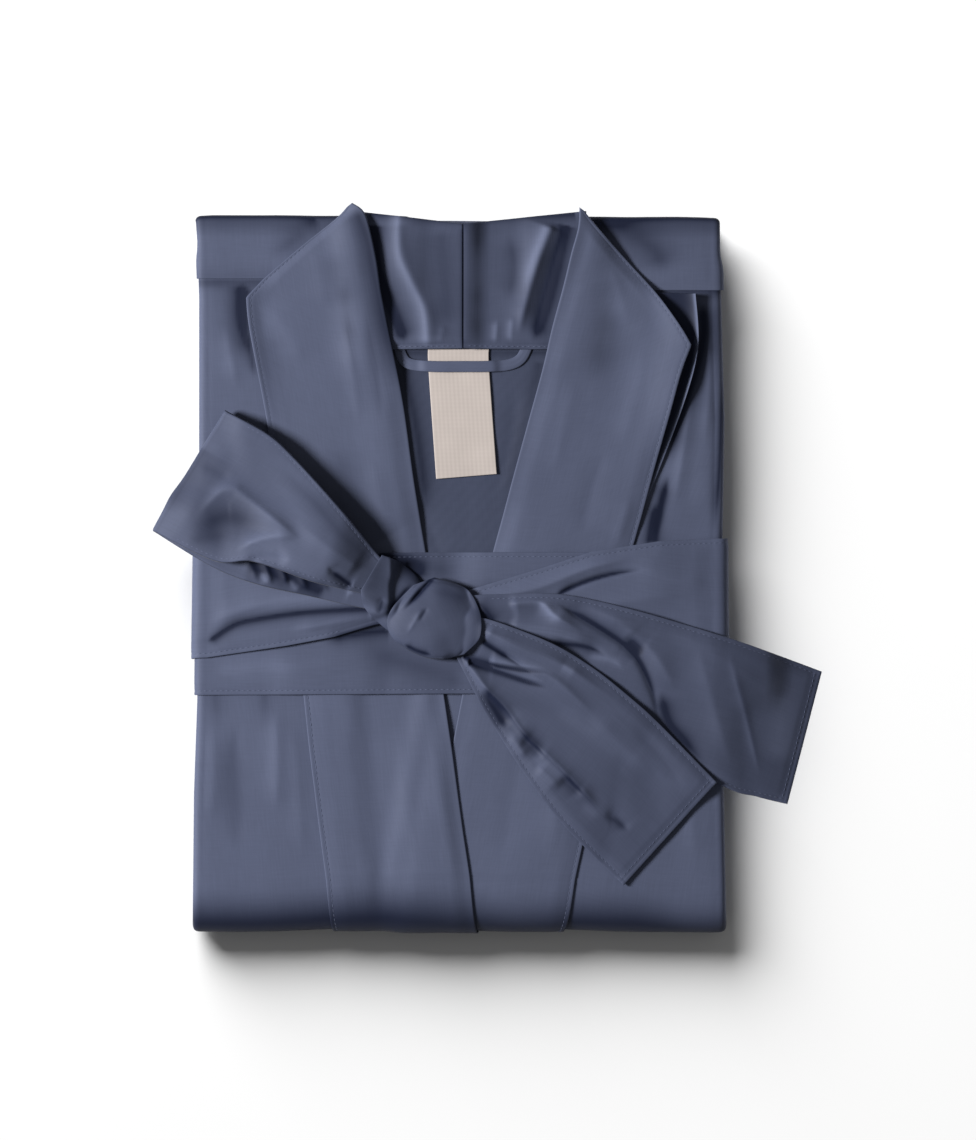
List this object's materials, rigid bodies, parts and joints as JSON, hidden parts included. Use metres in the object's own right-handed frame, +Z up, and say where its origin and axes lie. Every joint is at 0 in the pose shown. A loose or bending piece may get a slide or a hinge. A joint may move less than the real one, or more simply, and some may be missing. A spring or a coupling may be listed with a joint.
{
  "type": "kimono robe",
  "caption": "Satin kimono-style dressing robe with shawl collar, folded flat with its sash wound round it and tied in a half bow.",
  "frame": {"origin": "on the resting surface, under the middle of the outline box", "axes": "+Z up, +Y towards the collar, +X to the right as seen from above with the collar at the top"},
  "size_m": [0.3353, 0.3665, 0.0481],
  "materials": {
    "satin": "matt satin, plain slate blue, soft broad sheen along the warp",
    "label_cloth": "pale warm grey woven tape, matt, fine weave, bare"
  },
  "bodies": {
    "root": {"folded_layers": "satin", "front_left": "satin", "front_right": "satin", "yoke_left": "satin", "yoke_right": "satin", "back_inside": "satin", "hanger_loop": "satin", "collar_back_left": "satin", "collar_back_right": "satin", "lapel_right_under": "satin", "lapel_left": "satin", "lapel_right": "satin", "band_right": "satin", "band_left": "satin", "belt_front": "satin", "belt_wrap_left": "satin", "belt_wrap_right": "satin", "belt_back": "satin", "tail_upper": "satin", "tail_lower": "satin", "bow_loop": "satin", "knot": "satin", "knot_band": "satin", "label": "label_cloth"}
  },
  "joints": []
}
